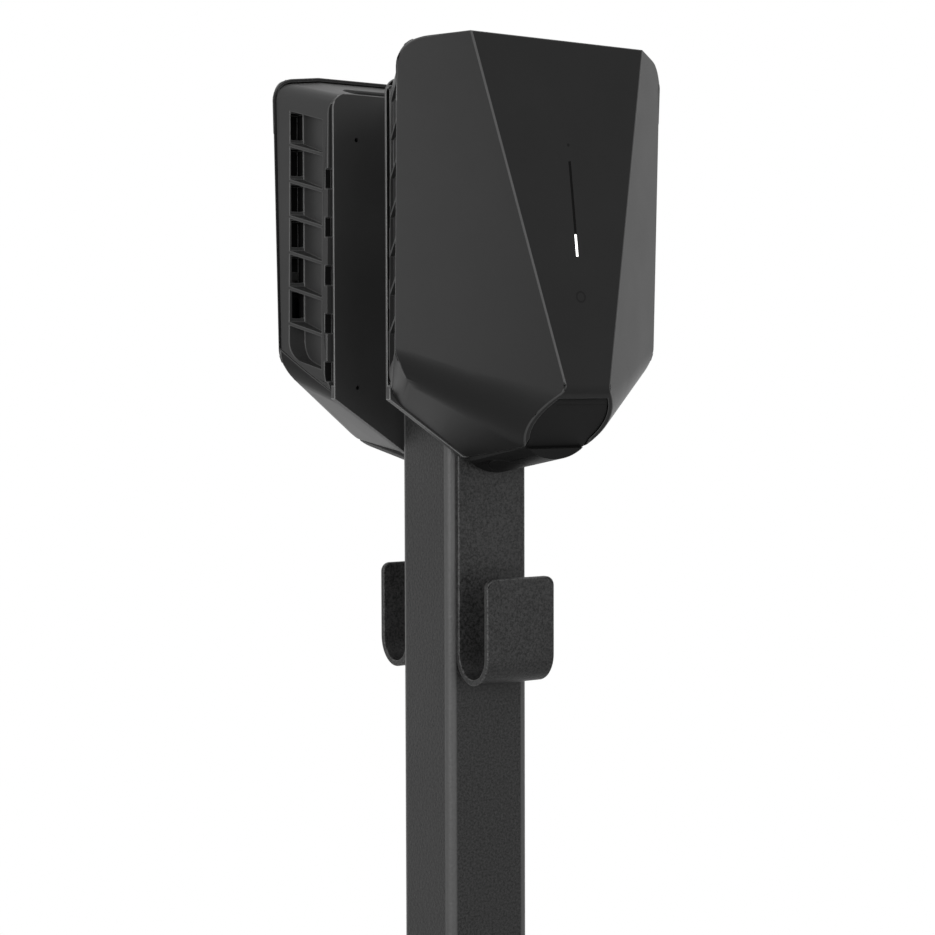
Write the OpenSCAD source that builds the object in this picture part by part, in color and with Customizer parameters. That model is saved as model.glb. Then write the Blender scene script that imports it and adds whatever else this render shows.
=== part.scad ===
// Stand with two wall-box EV chargers, mounted back to back on a square column.
// Each charger is carried by a bent plate that ends in a J-shaped cable hook.
// Origin: ground level, centre of the column. +Z is up and -Y is the front.

/* [Stand] */
// Height of the chargers' top edge above the ground
top_h = 1400; // [1200:10:1600]
// Side of the square column
post_w = 60; // [55:1:80]
// Outside corner radius of the column
post_r = 5; // [3:0.5:8]
// Wall of the column
post_wall = 3; // [2:0.5:4]
// How far the column's top lies under the chargers' top edge
post_drop = 22; // [10:1:40]
// Side of the square foot plate
base_w = 200; // [160:5:260]
// Thickness of the foot plate
base_t = 12; // [8:1:16]
// Distance between the anchor holes
anchor_pitch = 150; // [120:5:190]
// Diameter of the anchor holes
anchor_d = 14; // [10:1:16]
// Diameter of the cable hole in the foot plate
cable_hole_d = 45; // [30:1:50]

/* [Hook plate] */
// Width of the plate and its hook
hook_w = 50; // [40:1:54]
// Thickness of the bent sheet
sheet_t = 4; // [3:0.5:5]
// Clear gap of the hook
hook_gap = 30; // [24:1:40]
// Height of the hook's outer leg, from its top edge to the bottom of the bend
hook_h = 68.5; // [55:0.5:90]
// Distance from the chargers' top edge down to the hook's top edge
hook_drop = 326.5; // [300:0.5:380]
// Corner radius of the hook's outer leg
hook_corner_r = 6; // [3:0.5:10]
// Distance from the chargers' top edge down to the plate's top edge
plate_drop = 40; // [34:1:48]

/* [Charger] */
// Width across the rim
case_w = 193; // [170:1:230]
// Width of the front face at its top edge
face_top_w = 124; // [100:1:140]
// Width of the front face at its bottom edge
face_bottom_w = 32.6; // [24:0.1:40]
// Height of the front face
face_h = 205; // [180:1:240]
// Depth of the front face's top edge, from the hook plate
face_top_y = 76.5; // [70:0.5:90]
// Depth of the front face's bottom edge, from the hook plate
face_bottom_y = 106; // [96:0.5:120]
// Depth of the rim that divides cover and housing, at the top edge
rim_y = 49.3; // [46:0.1:54]
// Wall of the front cover
cover_t = 2.5; // [2:0.1:3]
// Gap between the cover and what it covers
cover_gap = 0.5; // [0.3:0.1:0.8]
// Width of the housing at its back edge
back_w = 156; // [140:1:180]
// Width of the back plate
plate_w = 154.6; // [140:0.2:176]
// Thickness of the back plate
plate_t = 5; // [4:0.5:6]
// Gap between the back plate and the housing
plate_gap = 2; // [1.5:0.5:3]
// Louvre pockets on each side
louvres = 7; // [4:1:7]
// Distance from one louvre rib to the next
louvre_pitch = 23.4; // [20:0.1:26]
// Depth of a louvre pocket
louvre_depth = 9; // [6:0.5:10]
// Thickness of the louvre ribs
louvre_rib = 2.4; // [1.6:0.1:4]

/* [Nose and socket] */
// Width of the nose in the cover's arch
nose_w = 43; // [36:1:50]
// Depth of the nose, from the hook plate
nose_y = 73; // [68:0.5:80]
// Wall of the nose
nose_t = 3; // [2:0.5:4]
// Radius of the chin's rounding
chin_r = 8; // [5:0.5:12]
// Diameter of the socket's contact block
socket_d = 38; // [34:0.5:39]
// Height of the contact block
socket_h = 24; // [16:1:26]
// Inside diameter of a contact sleeve
contact_d = 5; // [3:0.5:5]

/* [Light] */
// Width of the light slot in the cover
slot_w = 1.8; // [1.2:0.1:3]
// Height of the light slot
slot_h = 57; // [40:1:80]
// Distance from the top edge down to the slot
slot_drop = 73; // [60:1:90]

/* [Hidden] */

$fn = 48;
eps = 0.01;
big = 1200;

// Column and foot
post_h = top_h - post_drop - base_t;
post_in = post_w - 2 * post_wall;
post_in_r = max(post_r - post_wall, 1);
cap_t = 3;
cap_plug_h = 18;
cap_fit = 0.2;

// Hook plate: y is measured outwards from the column's face, z from the chargers' top edge
bend_r = hook_gap / 2 + sheet_t;
hook_bottom = hook_drop + hook_h;
bend_z = -(hook_bottom - bend_r);
plate_screw_d = 6;
plate_screw_head = 11;
plate_screw_z = [-(plate_drop + 20), -(hook_drop - 110)];
plate_thread_z = [-(plate_drop + 45), -(plate_drop + 125)];
plate_thread_x = hook_w / 2 - 10;
screw_d = 5;
screw_head = 9;

// Charger: y is measured outwards from the hook plate, z from the top edge, x across
half_w = case_w / 2;
flat_top = face_top_w / 2;
top_slope = 0.12;
top_r = 17;
low_r = 25;
// Lower walls: height of their meeting line, their slope across, and their rise per depth
low_slope = 0.691;
corner_rise = 4.3615; // the lower walls' outer corners lie this far above the face's bottom edge
apex = face_h - corner_rise + low_slope * half_w;
low_draft = 0.12;
rim_lean = 0.029;
part_z = face_h - 27;
flare_r = 22;
part_rise = 0.75;
lip = 2;
chassis_y = plate_t + plate_gap;
chassis_top = -3;
chassis_back_top = -17;
chassis_floor = -(face_h + 9);
cavity_y = chassis_y + 3;
ledge_y = 38;
seal_t = 1.5;
lid_t = 3;
lid_y = ledge_y + seal_t;
lid_front = lid_y + lid_t;
cavity_hw = half_w - 26.5;
recess_hw = half_w - 19.5;
cavity_top = -24;
recess_top = -14;
cavity_bottom = chassis_floor + 7;
recess_bottom = chassis_floor + 4;
cavity_lift = 19;
recess_lift = 15.5;
fit = 0.3;

// Nose under the chin
arch_angle = 45;
arch_gap = 0.4;
nose_hw = nose_w / 2;
nose_tip_z = apex - 5.1;
nose_rise = 0.163;
nose_r = 34;
nose_set = 0.8;
lip_t = 6;
socket_y = 30;
socket_face = chassis_floor - 29;
socket_mouth_d = nose_w - 7;

// Louvres
louvre_in_y = 11.4;
louvre_out_y = 37;
louvre_fall = 8;
louvre_h = louvre_pitch - louvre_rib;
function louvre_z(i) = -25.9 - i * louvre_pitch;

function unit(v) = v / norm(v);

// Planes of the faceted case for the right side, as [point, outward normal]
face_dir = unit([0, face_bottom_y - face_top_y, -face_h]);
front_n = [0, -face_dir.z, face_dir.y];
p_top = [flat_top, face_top_y, 0];
p_bottom = [face_bottom_w / 2, face_bottom_y, -face_h];
p_rim = [half_w, rim_y - rim_lean * 40, -40];
side_n = unit(cross(p_rim - p_top, p_bottom - p_top));
arch_n = [0, cos(arch_angle), -sin(arch_angle)];
chin_run = chin_r * tan(acos(front_n * arch_n) / 2);
front_pl = [p_top, front_n];
side_pl = [p_top, side_n];
arch_pl = [p_bottom + face_dir * chin_run, arch_n];
low_pl = [[0, 0, -apex], unit([low_slope, low_draft, -1])];
flank_pl = [[half_w, 0, 0], [1, 0, 0]];
rim_pl = [[0, rim_y, 0], unit([0, 1, -rim_lean])];

// Flared walls of the housing
flare_pl = [[half_w - lip, rim_y, 0],
    unit(cross([half_w - lip - back_w / 2, rim_y - rim_lean * 100 - chassis_y, 0], [0, -rim_lean, -1]) * -1)];
roof_dir = [0, rim_y - chassis_y, chassis_top - chassis_back_top];
roof_pl = [[flat_top, rim_y, chassis_top], unit(cross([1, 0, 0], roof_dir))];
shoulder_pl = [roof_pl[0], unit(cross([1, 0, -top_slope], roof_dir))];

// Plane under which the cover wraps round the housing's lower corners
part_pl = [[0, rim_y, -part_z], unit([0, part_rise, -1])];

// Point where planes a and b meet at the given x
function meet(a, b, x) =
    let (da = a[1] * a[0] - a[1].x * x, db = b[1] * b[0] - b[1].x * x,
         det = a[1].y * b[1].z - a[1].z * b[1].y)
    [x, (da * b[1].z - db * a[1].z) / det, (a[1].y * db - b[1].y * da) / det];
// Point of the line where planes a and b, both moved in by r, meet
function round_axis(a, b, r) =
    let (e = cross(a[1], b[1]), ha = a[1] * a[0] - r, hb = b[1] * b[0] - r)
    (ha * cross(b[1], e) + hb * cross(e, a[1])) / (e * e);
// Circle of radius r in the corner b between a and c, as [centre, touching points]
function corner(a, b, c, r) =
    let (u = unit(a - b), v = unit(c - b), half = acos(u * v) / 2)
    [b + unit(u + v) * r / sin(half), b + u * r / tan(half), b + v * r / tan(half)];

module aim(n) {
    rotate([0, acos(n.z), atan2(n.y, n.x)]) children();
}

// Everything beyond a plane that is moved in by i
module beyond(plane, i = 0) {
    translate(plane[0] - plane[1] * i) aim(plane[1]) translate([-big / 2, -big / 2, 0]) cube(big);
}

// Waste outside a rounding of radius r between planes a and b, for a form moved in by i
module round_edge(a, b, r, i = 0) {
    o = round_axis(a, b, r);
    difference() {
        beyond([o + (r - i) * a[1], unit(a[1] + b[1])]);
        translate(o) aim(unit(cross(a[1], b[1]))) cylinder(r = r - i, h = 2 * big, center = true);
    }
}

// The same with a cone whose radius grows from nothing at the tip, by grow for each unit of length
module taper_edge(a, b, tip, grow, i = 0) {
    e = unit(cross(a[1], b[1]));
    m = unit(a[1] + b[1]);
    tilt = atan(grow / (m * a[1]));
    axis = e * cos(tilt) - m * sin(tilt);
    half = asin(sin(tilt) * (m * a[1]));
    at = tip + axis * i / sin(half);
    n = unit(cross(axis + a[1] * sin(half), axis + b[1] * sin(half)));
    difference() {
        beyond([at, n * sign(n * m)]);
        translate(at) aim(axis) cylinder(r1 = 0, r2 = 400 * tan(half), h = 400);
    }
}

// Waste outside a round corner of a flat outline
module corner_waste(a, b, c, r) {
    k = corner(a, b, c, r);
    difference() {
        polygon([k[1], b + unit(b - k[0]), k[2]]);
        translate(k[0]) circle(r);
    }
}

module both_sides() {
    children();
    mirror([1, 0, 0]) children();
}

// Extrudes an X-Z outline from depth y to y + t
module upright(y, t) {
    translate([0, y + t, 0]) rotate([90, 0, 0]) linear_extrude(t) children();
}

// Outline with a level top, sloping shoulders and round corners; it ends far below
module head_outline(i) {
    a = [flat_top - i * 0.06, -i];
    b = [half_w - i, -i - top_slope * (half_w - flat_top - i)];
    c = [half_w - i, -big / 2];
    difference() {
        polygon([a, b, c, [-c.x, c.y], [-b.x, b.y], [-a.x, a.y]]);
        both_sides() corner_waste(a, b, c, top_r - i);
    }
}

// Outline of the flat inner pieces: round top corners, lower walls and a level bottom
module panel_outline(hw, top, bottom, lift, r) {
    a = [0, top];
    b = [hw, top];
    c = [hw, -apex + low_slope * hw + lift];
    d = [(apex - lift + bottom) / low_slope, bottom];
    difference() {
        polygon([b, c, d, [-d.x, d.y], [-c.x, c.y], [-b.x, b.y]]);
        both_sides() corner_waste(a, b, c, r);
    }
}

// Profile in Y and Z, extruded across the middle
module across(w) {
    translate([-w / 2, 0, 0]) rotate([90, 0, 90]) linear_extrude(w) children();
}

module charger(side) {
    turn = side == "front" ? 180 : 0;
    rotate([0, 0, turn]) translate([0, post_w / 2 + sheet_t, top_h]) children();
}

module on_post(side) {
    turn = side == "front" ? 180 : 0;
    rotate([0, 0, turn]) translate([0, post_w / 2, top_h]) children();
}

// Cylinder along +Y from depth y
module rod(d, y, l) {
    translate([0, y, 0]) rotate([-90, 0, 0]) cylinder(d = d, h = l);
}

// Countersunk screw along -Y with its flat head at depth y
module flat_screw(d, head, y, l) {
    translate([0, y, 0]) rotate([90, 0, 0]) {
        cylinder(d1 = head, d2 = d, h = (head - d) / 2);
        cylinder(d = d, h = l);
    }
}

// Pan head screw along -Y, its head standing on depth y
module pan_screw(d, head, y, l) {
    rod(head, y, d * 0.55);
    rod(d, y - l, l + eps);
}

// Rounded square made of exact arcs
module rounded_block(w, r, h) {
    cube_w = w - 2 * r;
    translate([-w / 2, -cube_w / 2, 0]) cube([w, cube_w, h]);
    translate([-cube_w / 2, -w / 2, 0]) cube([cube_w, w, h]);
    for (x = [-1, 1], y = [-1, 1]) translate([x * cube_w / 2, y * cube_w / 2, 0]) cylinder(r = r, h = h);
}

module column() {
    color("dimgray") difference() {
        translate([0, 0, base_t]) rounded_block(post_w, post_r, post_h);
        translate([0, 0, base_t - 1]) rounded_block(post_in, post_in_r, post_h + 2);
        for (side = ["front", "rear"], z = plate_screw_z)
            on_post(side) translate([0, 0, z]) rod(plate_screw_d, -post_wall - 1, post_wall + 2);
        for (side = ["front", "rear"])
            on_post(side) translate([0, 0, wire_z]) rod(wire_d, -post_wall - 1, post_wall + 2);
    }
}

// Supply wires pass from the column through hook plate, back plate and housing
wire_d = 20;
wire_z = -(plate_drop + 85);

module base_plate() {
    color("dimgray") difference() {
        rounded_block(base_w, 12, base_t);
        for (x = [-1, 1], y = [-1, 1])
            translate([x * anchor_pitch / 2, y * anchor_pitch / 2, -1]) cylinder(d = anchor_d, h = base_t + 2);
        translate([0, 0, -1]) cylinder(d = cable_hole_d, h = base_t + 2);
    }
}

module column_cap() {
    z = base_t + post_h;
    color("black") difference() {
        union() {
            translate([0, 0, z]) rounded_block(post_w, post_r, cap_t);
            translate([0, 0, z - cap_plug_h]) rounded_block(post_in - 2 * cap_fit, post_in_r, cap_plug_h + eps);
        }
        translate([0, 0, z - cap_plug_h - 1]) rounded_block(post_in - 8, post_in_r, cap_plug_h);
    }
}

// Strip on the column, bend under, and outer leg up, in the plane across X
module hook_plate() {
    leg_y = sheet_t + hook_gap;
    r_in = hook_gap / 2;
    color("dimgray") difference() {
        union() {
            translate([-hook_w / 2, 0, bend_z]) cube([hook_w, sheet_t, -plate_drop - bend_z]);
            translate([0, bend_r, bend_z]) rotate([0, 90, 0]) difference() {
                cylinder(r = bend_r, h = hook_w, center = true);
                cylinder(r = r_in, h = hook_w + 2, center = true);
                translate([-big, -big / 2, -big / 2]) cube(big);
            }
            translate([-hook_w / 2 + hook_corner_r, leg_y, bend_z])
                cube([hook_w - 2 * hook_corner_r, sheet_t, hook_h - bend_r]);
            translate([-hook_w / 2, leg_y, bend_z]) cube([hook_w, sheet_t, hook_h - bend_r - hook_corner_r]);
            for (x = [-1, 1]) translate([x * (hook_w / 2 - hook_corner_r), 0, -hook_drop - hook_corner_r])
                rod(2 * hook_corner_r, leg_y, sheet_t);
        }
        for (z = plate_screw_z)
            translate([0, 0, z]) flat_screw(plate_screw_d + fit, plate_screw_head + fit, sheet_t, 8);
        for (x = [-1, 1], z = plate_thread_z)
            translate([x * plate_thread_x, 0, z]) rod(screw_d, -1, sheet_t + 2);
        translate([0, 0, wire_z]) rod(wire_d, -1, sheet_t + 2);
    }
}

module hook_plate_screws() {
    color("silver") for (z = plate_screw_z)
        translate([0, 0, z]) flat_screw(plate_screw_d, plate_screw_head, sheet_t, sheet_t + post_wall + 4);
}

module back_plate() {
    hw = plate_w / 2;
    color("#3a3c3f") difference() {
        upright(0, plate_t) panel_outline(hw, chassis_back_top - 0.5, -(apex - 16), plate_lift, 10);
        for (x = [-1, 1], z = plate_thread_z)
            translate([x * plate_thread_x, 0, z]) flat_screw(screw_d + fit, screw_head + fit, plate_t, 8);
        for (x = [-1, 1], z = drain_z) translate([x * drain_x, 0, z]) rod(drain_d, -1, plate_t + 2);
        for (p = chassis_screw_at) translate([p.x, 0, p.y]) rod(chassis_screw_d, blind_y, plate_t);
        translate([0, 0, wire_z]) rod(wire_d, -1, plate_t + 2);
    }
}

// Small open holes in the back plate, and the screws that hold the housing on it
drain_x = plate_w / 2 - 17.3;
drain_z = [-47, -(face_h + 2.5)];
drain_d = 3;
blind_y = 1.5;
plate_lift = -0.8;
chassis_screw_d = 4;
chassis_screw_at = [for (x = [-1, 1], z = [-60, -190]) [x * 44, z]];

module back_plate_screws() {
    color("silver") for (x = [-1, 1], z = plate_thread_z)
        translate([x * plate_thread_x, 0, z]) flat_screw(screw_d, screw_head, plate_t, plate_t + sheet_t);
}

// Flared form of the housing from depth y to the rim, with its walls moved in by i
module flared_form(y, i = 0) {
    difference() {
        translate([-half_w, y, -big / 2]) cube([case_w, rim_y - y, big / 2]);
        beyond(roof_pl);
        both_sides() {
            beyond(shoulder_pl);
            beyond(flare_pl, i);
            beyond(low_pl, i);
            round_edge(shoulder_pl, flare_pl, 14);
            round_edge(flare_pl, low_pl, flare_r, i);
            taper_edge(side_pl, low_pl, meet(side_pl, low_pl, blend_x), blend_grow, i);
        }
    }
}

// Louvre pockets: wedges in plan, deepest near the rim, with ribs that fall towards the wall
module louvre_cut() {
    intersection() {
        translate([0, 0, -big / 2]) linear_extrude(big) polygon([
            [back_w / 2 - 0.5, louvre_in_y], [big, louvre_in_y], [big, louvre_out_y],
            [back_w / 2 + 10.8 - louvre_depth, louvre_out_y]]);
        translate([half_w - 30, 0, 0]) rotate([90, 0, 90]) linear_extrude(60) difference() {
            for (i = [0:louvres - 1]) translate([0, louvre_z(i)]) polygon([
                [louvre_out_y, 0], [louvre_in_y, -louvre_fall],
                [louvre_in_y, -louvre_fall - louvre_h], [louvre_out_y, -louvre_h]]);
            translate([0, louvre_z(louvres - 1)]) corner_waste([louvre_out_y, 0],
                [louvre_out_y, -louvre_h], [louvre_in_y, -louvre_fall - louvre_h], 15);
        }
    }
}

module chassis() {
    color("#2f3134") difference() {
        union() {
            difference() {
                union() {
                    difference() {
                        flared_form(chassis_y);
                        beyond(part_pl, cover_gap);
                    }
                    flared_form(chassis_y, cover_t + cover_gap);
                }
                beyond(rim_pl, cover_gap);
                translate([-half_w, 0, -big]) cube([case_w, big, big + chassis_floor]);
                upright(cavity_y, big) panel_outline(cavity_hw, cavity_top, cavity_bottom, cavity_lift, 6);
            }
            for (p = board_at) translate([p.x, 0, p.y]) rod(8, cavity_y - eps, standoff_h + eps);
            for (p = chassis_screw_at) translate([p.x, 0, p.y]) rod(10, plate_t, plate_gap + 1);
        }
        upright(ledge_y, big) panel_outline(recess_hw, recess_top, recess_bottom, recess_lift, 8);
        both_sides() louvre_cut();
        for (p = board_at) translate([p.x, 0, p.y]) rod(board_screw_d, cavity_y, standoff_h + 1);
        for (p = chassis_screw_at) translate([p.x, 0, p.y]) rod(chassis_screw_d + fit, 0, cavity_y + 2);
        for (p = lid_screw_at) translate([p.x, 0, p.y]) rod(lid_screw_d, ledge_y - 10, 12);
        for (x = nose_screw_x) translate([x, nose_screw_y, chassis_floor - 1])
            cylinder(d = nose_screw_d + fit, h = 10);
        translate([0, socket_y, chassis_floor - 1]) cylinder(d = socket_d - 10, h = 10);
        translate([0, 0, wire_z]) rod(wire_d, 0, cavity_y + 2);
        entry_form(entry_d, 40);
    }
}

// Profile of the nose: sloping underside, upright tip and the flat face under the chin
module nose_profile() {
    y = nose_y - 0.5;
    face = [for (z = [-(apex - 23.3), chassis_floor]) [nose_face_y(z), z]];
    polygon([[chassis_y, chassis_floor], [chassis_y, -big], [y, -big], [y, -(apex - 23.3)],
        [nose_face_y(-(apex - 23.3)), -(apex - 23.3)], face[1]]);
}
nose_slot_z = chassis_floor - 14;
function nose_face_y(z) = (arch_pl[0] * arch_n - nose_set - arch_n.z * z) / arch_n.y;

module nose_body() {
    difference() {
        intersection() {
            across(nose_w) nose_profile();
            translate([0, 0, -nose_tip_z + nose_r]) rotate([-90 + atan(nose_rise), 0, 0])
                translate([0, 0, -30]) cylinder(r = nose_r, h = 180);
        }
        // Above the slot in the cover it stays inside the cover's walls
        difference() {
            translate([-big / 2, 0, nose_slot_z - arch_gap]) cube(big);
            case_form(cover_t + arch_gap, false);
        }
    }
}

module nose() {
    bore = socket_d + 2 * fit;
    color("#2b2d2f") difference() {
        union() {
            nose_body();
            difference() {
                case_form(cover_t + arch_gap, false);
                beyond(arch_pl, nose_set);
                beyond(front_pl, lip_t + arch_gap);
                translate([-half_w, -1, chassis_floor]) cube(big);
                translate([-half_w, -1, -big]) cube([case_w, rim_y + 3, big]);
                translate([-half_w, -1, -big - (apex - 23.5)]) cube(big);
            }
        }
        difference() {
            case_form(cover_t + arch_gap + nose_t, false);
            beyond(arch_pl, nose_set + nose_t);
            beyond(front_pl, lip_t + arch_gap + nose_t);
            translate([-half_w, -1, -big]) cube([case_w, socket_y + bore / 2 + nose_t + 1, big]);
            translate([-big / 2, 0, -big - (apex - 26)]) cube(big);
        }
        translate([0, socket_y, socket_face - 40]) cylinder(d = socket_mouth_d, h = 40 + eps);
        translate([0, socket_y, socket_face]) cylinder(d = bore, h = 60);
        for (x = nose_screw_x) translate([x, nose_screw_y, chassis_floor - 14])
            cylinder(d = nose_screw_d, h = 15);
        translate([0, 0, lock_z]) rod(lock_d + fit, socket_y, lock_y - socket_y + 1);
    }
}

// Round cap that closes the socket, flush with the nose
module socket_cap() {
    color("#2b2d2f") intersection() {
        nose_body();
        translate([0, socket_y, -big]) cylinder(d = socket_mouth_d - 2 * fit, h = big + socket_face - fit);
    }
}

nose_screw_d = 3.5;
nose_screw_x = [-(nose_hw - 4.2), nose_hw - 4.2];
nose_screw_y = chassis_y + 7.5;
module nose_screws() {
    color("silver") for (x = nose_screw_x) translate([x, nose_screw_y, 0]) {
        translate([0, 0, cavity_bottom - 15]) cylinder(d = nose_screw_d, h = 15 + eps);
        translate([0, 0, cavity_bottom]) cylinder(d = 6.2, h = 2);
    }
}

// Top cable entry: obround along X through the top wall
entry_w = 116;
entry_d = 16;
entry_y = chassis_y + 14;
module entry_form(d, h, z = -30) {
    w = entry_w - entry_d;
    translate([0, entry_y, z]) linear_extrude(h) {
        square([w, d], center = true);
        for (x = [-1, 1]) translate([x * w / 2, 0]) circle(d = d);
    }
}

module entry_plug() {
    color("#26282a") difference() {
        entry_form(entry_d - 2 * fit, 12.5, -26);
        entry_form(entry_d - 6, 10, -27);
    }
}

board_w = 104;
board_h = 120;
board_t = 1.6;
board_z = -46;
standoff_h = 8;
board_y = cavity_y + standoff_h;
board_screw_d = 3;
board_at = [for (x = [-1, 1], z = [board_z - 6, board_z - board_h + 6]) [x * (board_w / 2 - 6), z]];

module circuit_board() {
    color("seagreen") difference() {
        translate([-board_w / 2, board_y, board_z - board_h]) cube([board_w, board_t, board_h]);
        for (p = board_at) translate([p.x, 0, p.y]) rod(board_screw_d + fit, board_y - 1, board_t + 2);
    }
}

module board_screws() {
    color("silver") for (p = board_at)
        translate([p.x, 0, p.y]) pan_screw(board_screw_d, 5.5, board_y + board_t, 8);
}

module relays() {
    color("#b9bcc0") for (x = [-1, 1])
        translate([x * 22 - 14, board_y + board_t, board_z - 66]) cube([28, 13, 34]);
}

module terminal_block() {
    w = 70;
    z = board_z - board_h + 16;
    color("#4d6f4f") difference() {
        translate([-w / 2, board_y + board_t, z]) cube([w, 13, 22]);
        for (i = [0:6]) translate([-w / 2 + 5 + i * 10, 0, z + 15]) rod(5, board_y + board_t + 4, 20);
        for (i = [0:6]) translate([-w / 2 + 5 + i * 10, board_y + board_t + 6, z - 1]) cylinder(d = 6, h = 9);
    }
}

// Contact places in the block, in X and Y
contact_at = concat([[0, 0], [-14, 0], [14, 0], [-8, -12.5], [8, -12.5]], [[-6.5, 12.5], [6.5, 12.5]]);

module socket_block() {
    color("#1c1d1f") difference() {
        translate([0, socket_y, socket_face]) cylinder(d = socket_d, h = socket_h);
        for (p = contact_at)
            translate([p.x, socket_y + p.y, socket_face - 1]) cylinder(d = contact_d + 2, h = socket_h - 3);
        translate([0, 0, lock_z]) rod(lock_d + fit, socket_y + socket_d / 2 - 3, 4);
    }
}

module socket_contacts() {
    color("goldenrod") for (p = contact_at) translate([p.x, socket_y + p.y, socket_face + 2]) difference() {
        cylinder(d = contact_d + 2, h = socket_h - 6);
        translate([0, 0, -1]) cylinder(d = contact_d - 1, h = socket_h - 8);
    }
}

lock_d = 5;
lock_z = socket_face + 8;
lock_y = socket_y + socket_d / 2 + fit + nose_t + fit;
module lock_pin() {
    color("silver") translate([0, 0, lock_z])
        rod(lock_d, socket_y + socket_d / 2 - 1.5, lock_y - socket_y - socket_d / 2 + 4.5);
}

module lock_actuator() {
    color("#1c1d1f") difference() {
        translate([-14, lock_y, lock_z - 5]) cube([28, 13, 22]);
        translate([0, 0, lock_z]) rod(lock_d + fit, lock_y - 1, 5);
    }
}

lid_screw_d = 3.5;
lid_screw_x = (cavity_hw + recess_hw) / 2;
lid_screw_at = concat(
    [for (x = [-1, 1], z = [-60, -150]) [x * lid_screw_x, z]],
    [for (x = [-1, 1]) [x * 40, (cavity_top + recess_top) / 2]]);

module lid_outline() {
    panel_outline(recess_hw - fit, recess_top - fit, recess_bottom + fit, recess_lift + fit, 8);
}

module inner_lid() {
    color("#26282a") difference() {
        upright(lid_y, lid_t) lid_outline();
        for (p = lid_screw_at) translate([p.x, 0, p.y]) rod(lid_screw_d + fit, lid_y - 1, lid_t + 2);
    }
}

module lid_seal() {
    color("#151515") difference() {
        upright(ledge_y, seal_t) lid_outline();
        upright(ledge_y - 1, seal_t + 2) panel_outline(cavity_hw, cavity_top, cavity_bottom, cavity_lift, 6);
        for (p = lid_screw_at) translate([p.x, 0, p.y]) rod(lid_screw_d + fit, ledge_y - 1, seal_t + 2);
    }
}

module lid_screws() {
    color("silver") for (p = lid_screw_at)
        translate([p.x, 0, p.y]) pan_screw(lid_screw_d, 6.5, lid_front, 11);
}

module chassis_screws() {
    color("silver") for (p = chassis_screw_at)
        translate([p.x, 0, p.y]) pan_screw(chassis_screw_d, 8, cavity_y, 8);
}

// Edge between side facet and lower wall: place of the cone's tip, and its growth
blend_x = 150;
blend_grow = 0.289;

// Outer form of the whole case, moved inwards by i, with or without the flat cut under the chin
module case_form(i = 0, cut = true) {
    difference() {
        upright(0, face_bottom_y + 5) head_outline(i);
        beyond(front_pl, i);
        both_sides() {
            beyond(side_pl, i);
            beyond(low_pl, i);
            round_edge(flank_pl, low_pl, low_r, i);
            taper_edge(side_pl, low_pl, meet(side_pl, low_pl, blend_x), blend_grow, i);
        }
        if (cut) {
            beyond(arch_pl, i);
            round_edge(front_pl, arch_pl, chin_r, i);
        }
    }
}

cover_post_at = [[-46, -32], [46, -32], [-52, -150], [52, -150]];

module cover() {
    color("#35373a") difference() {
        case_form();
        // Behind the rim only the lower walls remain, wrapped round the housing's flared corners
        difference() {
            union() {
                both_sides() {
                    beyond(flare_pl);
                    round_edge(flare_pl, low_pl, flare_r);
                }
                beyond([part_pl[0], -part_pl[1]]);
                translate([-big / 2, plate_t + fit - big, -big / 2]) cube(big);
            }
            beyond(rim_pl);
        }
        difference() {
            flared_form(0, cover_t);
            beyond(rim_pl, -cover_gap);
        }
        // Inside of the shell, but for the thick lip of the chin and the posts on the inner lid
        difference() {
            intersection() {
                case_form(cover_t, false);
                beyond(rim_pl);
            }
            intersection() {
                beyond(front_pl, lip_t);
                translate([-big / 2, 0, -face_h - 2 - big]) cube(big);
            }
            for (p = cover_post_at) translate([p.x, 0, p.y]) rod(8, rim_y, big / 3);
        }
        translate([-nose_hw - 2 * arch_gap, -1, nose_slot_z - big]) cube([nose_w + 4 * arch_gap, big, big]);
        translate([-slot_w / 2, 60, -slot_drop - slot_h]) cube([slot_w, 100, slot_h]);
    }
    color("#35373a") for (p = cover_post_at)
        translate([p.x, 0, p.y]) rod(8, lid_front, rim_y - lid_front + eps);
}

module light_guide() {
    t = 6;
    y_at = face_top_y + (face_bottom_y - face_top_y) * (slot_drop + slot_h / 2) / face_h;
    color("white") intersection() {
        translate([-slot_w / 2 + 0.1, 60, -slot_drop - slot_h + 0.1]) cube([slot_w - 0.2, 100, slot_h - 0.2]);
        difference() {
            case_form(0.2);
            beyond([p_top - front_n * (cover_t + t), -front_n]);
        }
    }
}

column();
base_plate();
column_cap();
on_post("front") hook_plate();  // front_hook_plate
on_post("front") hook_plate_screws();  // front_hook_plate_screws
charger("front") back_plate();  // front_back_plate
charger("front") back_plate_screws();  // front_back_plate_screws
charger("front") chassis();  // front_chassis
charger("front") chassis_screws();  // front_chassis_screws
charger("front") nose();  // front_nose
charger("front") nose_screws();  // front_nose_screws
charger("front") socket_cap();  // front_socket_cap
charger("front") entry_plug();  // front_entry_plug
charger("front") circuit_board();  // front_circuit_board
charger("front") board_screws();  // front_board_screws
charger("front") relays();  // front_relays
charger("front") terminal_block();  // front_terminal_block
charger("front") socket_block();  // front_socket_block
charger("front") socket_contacts();  // front_socket_contacts
charger("front") lock_actuator();  // front_lock_actuator
charger("front") lock_pin();  // front_lock_pin
charger("front") lid_seal();  // front_lid_seal
charger("front") inner_lid();  // front_inner_lid
charger("front") lid_screws();  // front_lid_screws
charger("front") light_guide();  // front_light_guide
charger("front") cover();  // front_cover
on_post("rear") hook_plate();  // rear_hook_plate
on_post("rear") hook_plate_screws();  // rear_hook_plate_screws
charger("rear") back_plate();  // rear_back_plate
charger("rear") back_plate_screws();  // rear_back_plate_screws
charger("rear") chassis();  // rear_chassis
charger("rear") chassis_screws();  // rear_chassis_screws
charger("rear") nose();  // rear_nose
charger("rear") nose_screws();  // rear_nose_screws
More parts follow.
